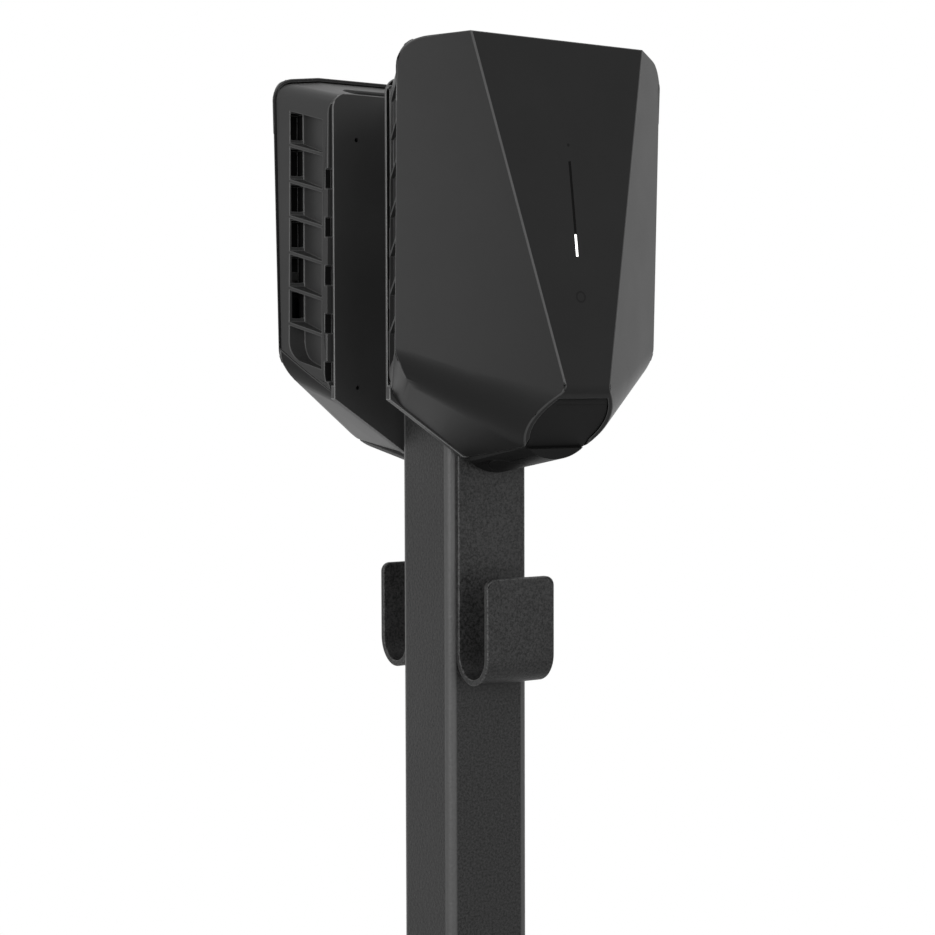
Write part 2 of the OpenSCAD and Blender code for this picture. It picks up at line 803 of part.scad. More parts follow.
charger("rear") socket_cap();  // rear_socket_cap
charger("rear") entry_plug();  // rear_entry_plug
charger("rear") circuit_board();  // rear_circuit_board
charger("rear") board_screws();  // rear_board_screws
charger("rear") relays();  // rear_relays
charger("rear") terminal_block();  // rear_terminal_block
charger("rear") socket_block();  // rear_socket_block
charger("rear") socket_contacts();  // rear_socket_contacts
charger("rear") lock_actuator();  // rear_lock_actuator
charger("rear") lock_pin();  // rear_lock_pin
charger("rear") lid_seal();  // rear_lid_seal
charger("rear") inner_lid();  // rear_inner_lid
charger("rear") lid_screws();  // rear_lid_screws
charger("rear") light_guide();  // rear_light_guide
charger("rear") cover();  // rear_cover
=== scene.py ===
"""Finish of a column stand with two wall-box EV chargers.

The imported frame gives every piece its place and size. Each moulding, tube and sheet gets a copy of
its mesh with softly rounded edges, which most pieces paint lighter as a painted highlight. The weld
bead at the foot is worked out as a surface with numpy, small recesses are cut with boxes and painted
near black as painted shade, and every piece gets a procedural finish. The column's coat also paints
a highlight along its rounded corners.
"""

from __future__ import annotations

import logging
import math
from dataclasses import dataclass
from enum import Enum
from typing import Any, Union

import bmesh
import bpy
import numpy as np
from mathutils import Matrix, Vector
from mathutils.bvhtree import BVHTree

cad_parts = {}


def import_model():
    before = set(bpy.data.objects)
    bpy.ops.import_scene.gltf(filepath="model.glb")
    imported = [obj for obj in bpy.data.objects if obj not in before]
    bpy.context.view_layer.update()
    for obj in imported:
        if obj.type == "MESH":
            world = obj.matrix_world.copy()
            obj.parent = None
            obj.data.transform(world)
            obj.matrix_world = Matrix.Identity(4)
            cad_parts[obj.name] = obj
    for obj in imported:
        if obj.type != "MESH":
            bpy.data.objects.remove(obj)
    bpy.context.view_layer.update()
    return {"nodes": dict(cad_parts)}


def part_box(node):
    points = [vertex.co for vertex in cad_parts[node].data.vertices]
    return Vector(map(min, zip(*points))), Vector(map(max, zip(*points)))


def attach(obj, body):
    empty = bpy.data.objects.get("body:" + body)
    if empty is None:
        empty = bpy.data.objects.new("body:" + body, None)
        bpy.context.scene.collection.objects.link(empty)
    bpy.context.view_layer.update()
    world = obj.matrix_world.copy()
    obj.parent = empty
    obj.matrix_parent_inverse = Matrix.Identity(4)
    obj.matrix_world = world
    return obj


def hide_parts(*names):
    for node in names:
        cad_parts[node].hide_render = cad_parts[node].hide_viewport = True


log = logging.getLogger("charger_stand")

Colour = tuple[float, float, float]
Place = tuple[float, float, float]
Number = Union[float, int]

MM = 0.001
WHITE: Colour = (1.0, 1.0, 1.0)
BLACK: Colour = (0.0, 0.0, 0.0)

# Where a charger stands, in mm: its top edge over the floor, and the planes behind it.
CHARGER_TOP = 1400.0
HALF_COLUMN = 30.0
HOOK_SHEET = 4.0

# Material slots of a piece with rounded edges. Slot 0 is its plain face.
# Slot 1 holds the rounded edges, which most pieces paint lighter as a painted highlight.
EDGE_SLOT = 1
# Slot 2 holds the walls of cut recesses, painted near black as painted shade.
RECESS_SLOT = 2

# Stands for a length of nothing where one is divided by.
NO_LENGTH = 1e-9

# Outputs of Light Path for the rays that show a surface, as against those that light one.
RAYS_THAT_SEE = ("Is Camera Ray", "Is Glossy Ray", "Is Transmission Ray")


class Side(Enum):
    """The two chargers of the stand, with the sign of their outward Y direction."""

    FRONT = -1
    REAR = 1

    @property
    def prefix(self) -> str:
        """Start of the names of this side's nodes."""
        return self.name.lower() + "_"


class Wire:
    """An output of a shader tree. Arithmetic on it adds Math nodes to the tree."""

    def __init__(self, tree: ShaderTree, socket: bpy.types.NodeSocket | None) -> None:
        """Wraps a socket.

        Args:
            tree: The tree that the socket belongs to.
            socket: The output socket, or None for a node that ends the tree.
        """
        self.tree = tree
        self.socket = socket

    def __add__(self, other: Value) -> Wire:
        """Returns the sum."""
        return self.tree.math("ADD", self, other)

    def __radd__(self, other: Value) -> Wire:
        """Returns the sum, with the other value first."""
        return self.tree.math("ADD", other, self)

    def __sub__(self, other: Value) -> Wire:
        """Returns the difference."""
        return self.tree.math("SUBTRACT", self, other)

    def __rsub__(self, other: Value) -> Wire:
        """Returns the difference, with the other value first."""
        return self.tree.math("SUBTRACT", other, self)

    def __mul__(self, other: Value) -> Wire:
        """Returns the product."""
        return self.tree.math("MULTIPLY", self, other)

    def __rmul__(self, other: Value) -> Wire:
        """Returns the product, with the other value first."""
        return self.tree.math("MULTIPLY", other, self)

    def ramp(self, low: Number, high: Number) -> Wire:
        """Rises smoothly from 0 at low to 1 at high.

        Args:
            low: Value at which the result leaves 0.
            high: Value at which the result reaches 1.

        Returns:
            The clamped, smoothed result.
        """
        settings = {"interpolation_type": "SMOOTHSTEP"}
        inputs = {"Value": self, "From Min": low, "From Max": high}
        return self.tree.node("ShaderNodeMapRange", settings, inputs)


Value = Union[Wire, float, int]


class ShaderTree:
    """The node tree of one material or world, with short ways to add nodes to it."""

    def __init__(self, owner: bpy.types.Material | bpy.types.World) -> None:
        """Clears the owner's tree and keeps it.

        Args:
            owner: The material or world whose nodes are built.
        """
        owner.use_nodes = True
        self.tree = owner.node_tree
        self.tree.nodes.clear()

    def node(
        self,
        kind: str,
        settings: dict[str, Any] | None = None,
        inputs: dict[str | int, Any] | None = None,
        output: str | int = 0,
    ) -> Wire:
        """Adds one node.

        Args:
            kind: Blender's name of the node's type.
            settings: The node's own settings.
            inputs: Values or wires for the sockets, by name or number.
            output: Name or number of the output that is returned.

        Returns:
            The chosen output.
        """
        made = self.tree.nodes.new(kind)
        for name, value in (settings or {}).items():
            setattr(made, name, value)
        for key, value in (inputs or {}).items():
            socket = made.inputs[key]
            if isinstance(value, Wire):
                self.tree.links.new(value.socket, socket)
            elif socket.type == "RGBA" and len(value) == 3:
                socket.default_value = (*value, 1.0)
            else:
                socket.default_value = value
        return Wire(self, made.outputs[output] if len(made.outputs) else None)

    def math(self, operation: str, *values: Value) -> Wire:
        """Adds a Math node.

        Args:
            operation: The node's operation.
            values: Its inputs in order.

        Returns:
            Its result.
        """
        return self.node("ShaderNodeMath", {"operation": operation}, dict(enumerate(values)))

    def place(self) -> Wire:
        """Returns the place on the object, in metres."""
        return self.node("ShaderNodeTexCoord", output="Object")

    def axis(self, name: str) -> Wire:
        """Returns one coordinate, X, Y or Z, of the place on the object."""
        return self.node("ShaderNodeSeparateXYZ", inputs={"Vector": self.place()}, output=name)

    def noise(self, size: float, detail: float = 2.0, roughness: float = 0.5) -> Wire:
        """Adds a noise.

        Args:
            size: Width of its blotches, in metres.
            detail: Number of finer layers.
            roughness: Strength of the finer layers.

        Returns:
            The noise, around 0.5.
        """
        scale = 1.0 / size
        inputs = {"Vector": self.place(), "Scale": scale, "Detail": detail, "Roughness": roughness}
        return self.node("ShaderNodeTexNoise", inputs=inputs)

    def cells(self, size: float) -> Wire:
        """Returns the distance to the nearest of many scattered points, about size metres apart."""
        inputs = {"Vector": self.place(), "Scale": 1.0 / size}
        return self.node("ShaderNodeTexVoronoi", inputs=inputs, output="Distance")

    def mix(self, share: Value, first: Colour | Wire, second: Colour | Wire) -> Wire:
        """Returns a colour between two, by share from 0 to 1."""
        inputs = {0: share, 6: first, 7: second}
        return self.node("ShaderNodeMix", {"data_type": "RGBA"}, inputs, output=2)

    def bump(self, height: Wire, depth: float, strength: float = 1.0) -> Wire:
        """Returns a normal that is tilted by a height.

        Args:
            height: The height, from 0 to 1.
            depth: How deep a step of 1 is, in metres.
            strength: Share of the effect.

        Returns:
            The normal.
        """
        inputs = {"Height": height, "Distance": depth, "Strength": strength}
        return self.node("ShaderNodeBump", inputs=inputs)

    def surface(self, **inputs: Any) -> None:
        """Adds the Principled shader and the output.

        Args:
            inputs: The shader's values or wires, by name. Underscores stand for spaces.
        """
        named = {name.replace("_", " "): value for name, value in inputs.items()}
        shader = self.node("ShaderNodeBsdfPrincipled", inputs=named)
        self.node("ShaderNodeOutputMaterial", inputs={"Surface": shader})


def grey(level: float) -> Colour:
    """Works out a neutral colour by the display standard's curve, which is straight near black.

    Args:
        level: Display level, from 0 to 255.

    Returns:
        The linear colour.
    """
    share = level / 255.0
    linear = ((share + 0.055) / 1.055) ** 2.4 if share > 0.04045 else share / 12.92
    return (linear, linear, linear)


def dimmed(colour: Colour, share: float) -> Colour:
    """Returns a colour with its light cut to a share."""
    return tuple(share * part for part in colour)


@dataclass(frozen=True)
class PowderCoat:
    """Matt powder coat with a fine structure, on steel.

    The relief is a sum of grain, fine grain and pits, and relief holds their weights. The tone is a
    sum of grain, fine grain and a wide cloud, and tones holds theirs. The tone runs from the darkest
    to the lightest share of the level. On a tube whose corner is given, a painted highlight lightens
    the colour where X and Y add up to that much, and the coat is smoother there.
    """

    name: str
    level: float
    grain: float = 1.5 * MM
    roughness: float = 0.45
    sheen_spots: float = 0.3
    corner: float | None = None
    fine_share: float = 0.35
    pit_share: float = 1.6
    cloud: float = 90 * MM
    relief: tuple[float, float, float] = (0.6, 0.25, 0.5)
    tones: tuple[float, float, float] = (1.4, 0.7, 0.25)
    darkest: float = 0.3
    lightest: float = 2.05
    specular: float = 0.2
    relief_depth: float = 0.22
    relief_strength: float = 0.9
    highlight_width: float = 1.5 * MM
    highlight_share: float = 0.75
    highlight_brightness: float = 3.2
    corner_gloss: float = 0.08

    def build(self) -> bpy.types.Material:
        """Builds the coat.

        Returns:
            The material.
        """
        material = bpy.data.materials.new(self.name)
        tree = ShaderTree(material)
        grain = tree.noise(self.grain, detail=3.0, roughness=0.62)
        fine = tree.noise(self.grain * self.fine_share, detail=1.0)
        pits = tree.cells(self.grain * self.pit_share)
        cloud = tree.noise(self.cloud)
        of_grain, of_fine, of_pits = self.relief
        height = grain * of_grain + fine * of_fine + pits * of_pits
        of_grain, of_fine, of_cloud = self.tones
        tone = (grain - 0.5) * of_grain + (fine - 0.5) * of_fine + (cloud - 0.5) * of_cloud + 0.5
        dark, light = grey(self.level * self.darkest), grey(self.level * self.lightest)
        colour = tree.mix(tone.ramp(0.1, 0.9), dark, light)
        roughness = self.roughness + (grain - 0.5) * self.sheen_spots
        # Painted highlight: a band along the tube's rounded corners is lightened where the lamps'
        # sheen falls, and made smoother.
        if self.corner is not None:
            reach = tree.math("ABSOLUTE", tree.axis("X")) + tree.math("ABSOLUTE", tree.axis("Y"))
            highlight_band = reach.ramp(self.corner, self.corner + self.highlight_width)
            colour = tree.mix(highlight_band * self.highlight_share, colour, grey(self.level * self.highlight_brightness))
            roughness = roughness - highlight_band * self.corner_gloss
        tree.surface(
            Base_Color=colour,
            Roughness=roughness,
            Specular_IOR_Level=self.specular,
            Normal=tree.bump(height, self.grain * self.relief_depth, self.relief_strength),
        )
        return material


@dataclass(frozen=True)
class FaceMarks:
    """The sensor window above the light bar and the touch ring below it, on the middle line."""

    sensor_z: float = 1336.7 * MM
    sensor_radius: float = 0.9 * MM
    touch_z: float = 1246.1 * MM
    touch_radius: float = 3.0 * MM
    touch_line: float = 0.3 * MM
    touch_share: float = 0.6
    soft: float = 0.25 * MM

    def mask(self, tree: ShaderTree) -> Wire:
        """Works out where the marks are, from the distance to the centre of each.

        Args:
            tree: The tree that gets the nodes.

        Returns:
            1 on the window, touch_share on the ring, and 0 elsewhere.
        """
        across = tree.axis("X")
        height = tree.axis("Z")

        def distance(z: float) -> Wire:
            """Returns the distance to a point of the middle line."""
            rise = height - z
            return tree.math("SQRT", across * across + rise * rise)

        radius, soft = self.sensor_radius, self.soft
        dot = 1 - distance(self.sensor_z).ramp(radius - soft, radius + soft)
        off_ring = tree.math("ABSOLUTE", distance(self.touch_z) - self.touch_radius)
        ring = 1 - off_ring.ramp(self.touch_line, self.touch_line + 2 * soft)
        return tree.math("MAXIMUM", dot, ring * self.touch_share)


@dataclass(frozen=True)
class MouldedPlastic:
    """Dark moulded plastic with a spark-eroded skin, faint flow clouds and traces of touch.

    Flow and skin make the tone, and gloss_spread holds how much flow, touch and skin change the
    roughness.
    """

    name: str
    level: float
    roughness: float = 0.42
    texture: float = 0.45 * MM
    depth: float = 0.012 * MM
    specular: float = 0.4
    marks: FaceMarks | None = None
    flow: float = 60 * MM
    touch: float = 22 * MM
    flow_share: float = 0.7
    darkest: float = 0.93
    lightest: float = 1.07
    gloss_spread: tuple[float, float, float] = (0.05, 0.04, 0.06)

    def build(self) -> bpy.types.Material:
        """Builds the plastic.

        Returns:
            The material.
        """
        material = bpy.data.materials.new(self.name)
        tree = ShaderTree(material)
        skin = tree.noise(self.texture, roughness=0.55)
        flow = tree.noise(self.flow, detail=3.0, roughness=0.6)
        touch = tree.noise(self.touch)
        tone = flow * self.flow_share + skin * (1 - self.flow_share)
        dark, light = grey(self.level * self.darkest), grey(self.level * self.lightest)
        colour = tree.mix(tone.ramp(0.2, 0.8), dark, light)
        if self.marks is not None:
            colour = tree.mix(self.marks.mask(tree), colour, BLACK)
        of_flow, of_touch, of_skin = self.gloss_spread
        spots = (flow - 0.5) * of_flow
        tree.surface(
            Base_Color=colour,
            Roughness=self.roughness + spots + (touch - 0.5) * of_touch + (skin - 0.5) * of_skin,
            Specular_IOR_Level=self.specular,
            Normal=tree.bump(skin, self.depth, 0.6),
        )
        return material


@dataclass(frozen=True)
class Metal:
    """Plated or bare metal with fine turning marks and a soft stain."""

    name: str
    colour: Colour
    roughness: float = 0.3
    turning: float = 0.25 * MM
    turning_depth: float = 0.01 * MM
    turning_gloss: float = 0.25
    stain: float = 5 * MM
    stained: float = 0.78

    def build(self) -> bpy.types.Material:
        """Builds the metal.

        Returns:
            The material.
        """
        material = bpy.data.materials.new(self.name)
        tree = ShaderTree(material)
        turning = tree.noise(self.turning)
        stain = tree.noise(self.stain)
        dull = dimmed(self.colour, self.stained)
        tree.surface(
            Base_Color=tree.mix(stain.ramp(0.35, 0.75), self.colour, dull),
            Metallic=1.0,
            Roughness=self.roughness + (turning - 0.5) * self.turning_gloss,
            Normal=tree.bump(turning, self.turning_depth, 0.5),
        )
        return material


@dataclass(frozen=True)
class Laminate:
    """Solder-masked circuit board with the glass weave showing through."""

    name: str
    colour: Colour
    weave_pitch: float = 1.2 * MM
    weave_depth: float = 0.01 * MM
    valley: float = 0.6
    smear: float = 8 * MM

    def build(self) -> bpy.types.Material:
        """Builds the board's face. Its weave is a sine across plus a sine along the board.

        Returns:
            The material.
        """
        material = bpy.data.materials.new(self.name)
        tree = ShaderTree(material)
        turn_per_metre = 2 * math.pi / self.weave_pitch
        across = tree.math("SINE", tree.axis("X") * turn_per_metre)
        along = tree.math("SINE", tree.axis("Z") * turn_per_metre)
        weave = (across + along) * 0.25 + 0.5
        tree.surface(
            Base_Color=tree.mix(weave, dimmed(self.colour, self.valley), self.colour),
            Roughness=0.35 + tree.noise(self.smear) * 0.1,
            Normal=tree.bump(weave, self.weave_depth, 0.4),
        )
        return material


@dataclass(frozen=True)
class LightBar:
    """Light guide: clear black above, and lit white over its lowest stretch."""

    name: str
    lit_low: float
    lit_high: float
    strength: float = 1.6
    glow: Colour = (1.0, 1.0, 0.98)
    unlit_level: float = 2
    lit_level: float = 235
    soft: float = 0.6 * MM
    specular: float = 0.08
    smear: float = 3 * MM

    def build(self) -> bpy.types.Material:
        """Builds the bar. It is lit between two heights, with soft ends.

        Returns:
            The material.
        """
        material = bpy.data.materials.new(self.name)
        tree = ShaderTree(material)
        height = tree.axis("Z")
        above_low = height.ramp(self.lit_low - self.soft, self.lit_low)
        lit = above_low * (1 - height.ramp(self.lit_high - self.soft, self.lit_high))
        tree.surface(
            Base_Color=tree.mix(lit, grey(self.unlit_level), grey(self.lit_level)),
            Specular_IOR_Level=self.specular,
            Roughness=0.22 + tree.noise(self.smear) * 0.06,
            Emission_Color=tree.mix(lit, BLACK, self.glow),
            Emission_Strength=self.strength,
        )
        return material


Finish = Union[PowderCoat, MouldedPlastic, Metal, Laminate, LightBar]


class Palette:
    """Builds each finish once and hands out its material."""

    def __init__(self) -> None:
        """Starts with no material built."""
        self._made: dict[str, bpy.types.Material] = {}

    def __call__(self, finish: Finish) -> bpy.types.Material:
        """Returns the material of a finish.

        Args:
            finish: The finish to build or find.

        Returns:
            Its material.
        """
        if finish.name not in self._made:
            self._made[finish.name] = finish.build()
        return self._made[finish.name]


def mesh_of_grid(
    name: str, points: np.ndarray, closed_u: bool, closed_v: bool
) -> bpy.types.Object:
    """Makes a mesh from a grid of points. Each cell of the grid becomes one four-sided face.

    Args:
        name: Name of the new object.
        points: Places, as an array of rows, columns and three coordinates.
        closed_u: Whether the last row joins the first.
        closed_v: Whether the last column joins the first.

    Returns:
        The new object, at the origin.
    """
    rows, columns = points.shape[:2]
    index = np.arange(rows * columns).reshape(rows, columns)
    u = np.arange(rows if closed_u else rows - 1)
    v = np.arange(columns if closed_v else columns - 1)
    next_u, next_v = (u + 1) % rows, (v + 1) % columns
    around = ((u, v), (next_u, v), (next_u, next_v), (u, next_v))
    faces = np.stack([index[np.ix_(a, b)] for a, b in around], axis=-1).reshape(-1, 4)
    mesh = bpy.data.meshes.new(name)
    mesh.from_pydata(points.reshape(-1, 3).tolist(), [], faces.tolist())
    mesh.shade_smooth()
    return add_object(name, mesh)


def add_object(name: str, mesh: bpy.types.Mesh) -> bpy.types.Object:
    """Adds a mesh to the scene as an object at the origin.

    Args:
        name: Name of the object.
        mesh: Its mesh.

    Returns:
        The object.
    """
    made = bpy.data.objects.new(name, mesh)
    bpy.context.scene.collection.objects.link(made)
    return made


def boxes_mesh(name: str, boxes: np.ndarray, material: int) -> bpy.types.Object:
    """Makes one mesh of separate boxes. A corner takes each coordinate from the low or high end.

    Args:
        name: Name of the new object.
        boxes: Low and high end of each box, as an array of boxes, two ends and three coordinates.
        material: Index of the boxes' material slot.

    Returns:
        The new object, with its faces pointing outwards.
    """
    ends = np.array([[x, y, z] for x in (0, 1) for y in (0, 1) for z in (0, 1)])
    spread = boxes[:, :, None, :].repeat(len(ends), axis=2)
    points = np.take_along_axis(spread, ends[None, None], axis=1)[:, 0]
    across_x = [[0, 1, 3, 2], [4, 6, 7, 5]]
    across_y = [[0, 4, 5, 1], [2, 3, 7, 6]]
    across_z = [[0, 2, 6, 4], [1, 5, 7, 3]]
    sides = np.array(across_x + across_y + across_z)
    faces = sides[None] + len(ends) * np.arange(len(boxes))[:, None, None]
    mesh = bpy.data.meshes.new(name)
    mesh.from_pydata(points.reshape(-1, 3).tolist(), [], faces.reshape(-1, 4).tolist())
    slots = np.full(len(mesh.polygons), material, dtype=np.int32)
    mesh.polygons.foreach_set("material_index", slots)
    return add_object(name, mesh)


@dataclass(frozen=True)
class SoftEdge:
    """How the edges of a piece are rounded, each over a few steps.

    Vertices nearer than weld are merged first. An edge is rounded where its faces turn by more than
    sharper_than, and where the outline that it belongs to is larger than smallest. No vertex ends
    further from the plain shape than reach times the radius, because an arc in a corner lies that
    near.
    """

    radius: float
    steps: int = 3
    sharper_than: float = math.radians(24)
    weld: float = 0.01 * MM
    reach: float = 0.45
    smallest: float = 12 * MM

    def copy_of(
        self,
        node: bpy.types.Object,
        name: str,
        materials: list[bpy.types.Material],
        cuts: np.ndarray | None = None,
    ) -> bpy.types.Object:
        """Copies a node's mesh, joins its triangles, cuts recesses into it and rounds its edges.

        Args:
            node: The frame's node.
            name: Name of the copy.
            materials: Finish of the faces, of the rounded edges and of the recesses. A lighter edge
            finish is a painted highlight, and the recess finish is a painted shade.
            cuts: Boxes to cut out, as for boxes_mesh.

        Returns:
            The copy.
        """
        mesh = bpy.data.meshes.new(name)
        self._join(node.data, mesh)
        for material in materials:
            mesh.materials.append(material)
        made = add_object(name, mesh)
        if cuts is not None:
            tool = boxes_mesh(name + "_cuts", cuts, RECESS_SLOT)
            for material in materials:
                tool.data.materials.append(material)
            cut = made.modifiers.new("recesses", "BOOLEAN")
            cut.operation = "DIFFERENCE"
            cut.solver = "EXACT"
            cut.use_self = True
            cut.object = tool
            self._settle(made)
            bpy.data.objects.remove(tool)
            self._join(made.data, made.data)
        self._mark(made.data)
        plain = made.data.copy()
        bevel = made.modifiers.new("soft edges", "BEVEL")
        bevel.width = self.radius
        bevel.segments = self.steps
        bevel.limit_method = "WEIGHT"
        bevel.use_clamp_overlap = False
        bevel.material = EDGE_SLOT
        self._settle(made)
        self._hold(made.data, plain)
        bpy.data.meshes.remove(plain)
        made.data.polygons.foreach_set("use_smooth", [True] * len(made.data.polygons))
        weigh = made.modifiers.new("flat faces", "WEIGHTED_NORMAL")
        weigh.keep_sharp = True
        return made

    def _join(self, source: bpy.types.Mesh, target: bpy.types.Mesh) -> None:
        """Merges doubled vertices and leaves a closed mesh of triangles.

        Args:
            source: Mesh that is read.
            target: Mesh that gets the result, which may be the same.
        """
        shape = bmesh.new()
        shape.from_mesh(source)
        bmesh.ops.remove_doubles(shape, verts=shape.verts, dist=self.weld)
        bmesh.ops.dissolve_degenerate(shape, edges=shape.edges, dist=self.weld)
        bmesh.ops.triangulate(shape, faces=shape.faces)
        shape.to_mesh(target)
        shape.free()

    def _mark(self, mesh: bpy.types.Mesh) -> None:
        """Marks the sharp edges for rounding. Outlines as small as a screw hole stay crisp.

        Args:
            mesh: The mesh whose edges get a bevel weight of 1 or 0.
        """
        shape = bmesh.new()
        shape.from_mesh(mesh)
        weight = shape.edges.layers.float.new("bevel_weight_edge")
        sharp = {edge for edge in shape.edges if edge.calc_face_angle(0.0) > self.sharper_than}
        while sharp:
            chain = {sharp.pop()}
            ahead = list(chain)
            while ahead:
                for corner in ahead.pop().verts:
                    joined = sharp.intersection(corner.link_edges)
                    sharp -= joined
                    chain |= joined
                    ahead.extend(joined)
            places = np.array([corner.co for edge in chain for corner in edge.verts])
            rounded = np.ptp(places, axis=0).max() > self.smallest
            for edge in chain:
                edge[weight] = float(rounded)
                edge.smooth = rounded
        shape.to_mesh(mesh)
        shape.free()

    @staticmethod
    def _settle(piece: bpy.types.Object) -> None:
        """Puts the result of the piece's modifiers into its mesh and removes them.

        Args:
            piece: The piece that carries the modifiers.
        """
        graph = bpy.context.evaluated_depsgraph_get()
        result = bpy.data.meshes.new_from_object(piece.evaluated_get(graph))
        piece.modifiers.clear()
        old = piece.data
        piece.data = result
        bpy.data.meshes.remove(old)

    def _hold(self, mesh: bpy.types.Mesh, plain: bpy.types.Mesh) -> None:
        """Draws back each vertex that the rounding threw too far from the plain shape.

        A vertex moves straight towards its nearest place on the plain shape, until it is no
        further away than an arc lies.

        Args:
            mesh: The rounded mesh.
            plain: The same mesh before it was rounded.
        """
        plain.calc_loop_triangles()
        knots = [vertex.co for vertex in plain.vertices]
        faces = [tuple(face.vertices) for face in plain.loop_triangles]
        tree = BVHTree.FromPolygons(knots, faces)
        places = np.empty(3 * len(mesh.vertices), dtype=np.float32)
        mesh.vertices.foreach_get("co", places)
        places = places.reshape(-1, 3)
        nearest = np.array([tree.find_nearest(place)[0] for place in places.tolist()])
        offset = places - nearest
        length = np.linalg.norm(offset, axis=1, keepdims=True)
        share = np.minimum(1.0, self.reach * self.radius / np.maximum(length, NO_LENGTH))
        mesh.vertices.foreach_set("co", (nearest + offset * share).astype(np.float32).ravel())
        mesh.update()
        log.info("%s: %d vertices drawn back", mesh.name, int((share < 1).sum()))


@dataclass
class Workshop:
    """What every sub-assembly needs: the frame's nodes and the palette."""

    nodes: dict[str, bpy.types.Object]
    palette: Palette

    def dress(self, node: str, finish: Finish) -> None:
        """Gives a frame node a finish and leaves its shape.

        Args:
            node: Name of the node.
            finish: Its finish.
        """
        target = self.nodes[node]
        target.data.materials.clear()
        target.data.materials.append(self.palette(finish))
        log.info("dressed %s in %s", node, finish.name)

    def soften(
        self,
        node: str,
        finish: Finish,
        edge: SoftEdge,
        slot: str,
        edge_highlight: Finish | None = None,
        cuts: np.ndarray | None = None,
    ) -> None:
        """Replaces a node by a copy with rounded edges.

        Args:
            node: Name of the node.
            finish: Finish of the copy.
            edge: How its edges are rounded.
            slot: Not used.
            edge_highlight: Finish of the rounded edges, if it differs. A lighter one is a painted
                highlight.
            cuts: Boxes that are cut out of the copy, if any. Their walls get a painted shade.
        """
        # Slot 1 paints the rounded edges, lighter as a painted highlight where a finish is given.
        # Slot 2 paints the recess walls near black as painted shade.
        finishes = [finish, edge_highlight or finish, DEEP_SHADE if cuts is not None else finish]
        materials = [self.palette(each) for each in finishes]
        made = edge.copy_of(self.nodes[node], node + "_shell", materials, cuts)
        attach(made, "root")
        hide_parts(node)
        log.info("softened %s by %.2f mm in %s", node, edge.radius / MM, finish.name)

    def keep(self, made: bpy.types.Object, finish: Finish, slot: str) -> None:
        """Dresses a new piece and fixes it to the stand.

        Args:
            made: The new piece.
            finish: Its finish.
            slot: Not used.
        """
        made.data.materials.append(self.palette(finish))
        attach(made, "root")
        log.info("made %s in %s", made.name, finish.name)


# The finishes. The number after the name is the display level of the finish, from 0 to 255.
STEEL_COAT = PowderCoat("powder_coat", 29)
# The column's coat paints a highlight along its rounded corners.
COLUMN_COAT = PowderCoat("column_coat", 28, corner=53.8 * MM)
# Painted highlight: a lighter copy of the steel coat for rounded edges.
STEEL_EDGE_HIGHLIGHT = PowderCoat("powder_coat_edge", 44, roughness=0.4)
COVER_SKIN = MouldedPlastic("cover_plastic", 30, 0.36, specular=0.12, marks=FaceMarks())
# Painted highlight on the cover's rounded edges.
COVER_EDGE_HIGHLIGHT = MouldedPlastic("cover_plastic_edge", 58, roughness=0.34, specular=0.3)
HOUSING_SKIN = MouldedPlastic("housing_plastic", 48, roughness=0.42, specular=0.25)
# Painted highlight on the housing's rounded edges.
HOUSING_EDGE_HIGHLIGHT = MouldedPlastic("housing_plastic_edge", 66, roughness=0.4, specular=0.3)
NOSE_SKIN = MouldedPlastic("nose_plastic", 14, roughness=0.5, specular=0.1)
PLATE_SKIN = MouldedPlastic("plate_plastic", 46, roughness=0.42, specular=0.3)
# Painted highlight on the back plate's rounded edges.
PLATE_EDGE_HIGHLIGHT = MouldedPlastic("plate_plastic_edge", 105, roughness=0.35, specular=0.4)
CAP_SKIN = MouldedPlastic("cap_plastic", 28, roughness=0.55, specular=0.2)
# Painted shade: a near-black finish for the walls of cut recesses, where only shade falls.
DEEP_SHADE = MouldedPlastic("recess_plastic", 8, roughness=0.8, specular=0.1)
SOCKET_SKIN = MouldedPlastic("socket_plastic", 26, roughness=0.45)
RELAY_SKIN = MouldedPlastic("relay_case", 170, roughness=0.4)
TERMINAL_SKIN = MouldedPlastic("terminal_plastic", 110, roughness=0.45)
SEAL_SKIN = MouldedPlastic("seal_rubber", 24, roughness=0.75)
SCREW_METAL = Metal("screw_steel", (0.62, 0.62, 0.6))
CONTACT_METAL = Metal("contact_metal", (0.72, 0.5, 0.2), 0.25)
BOARD_GREEN = Laminate("board", (0.02, 0.11, 0.05))


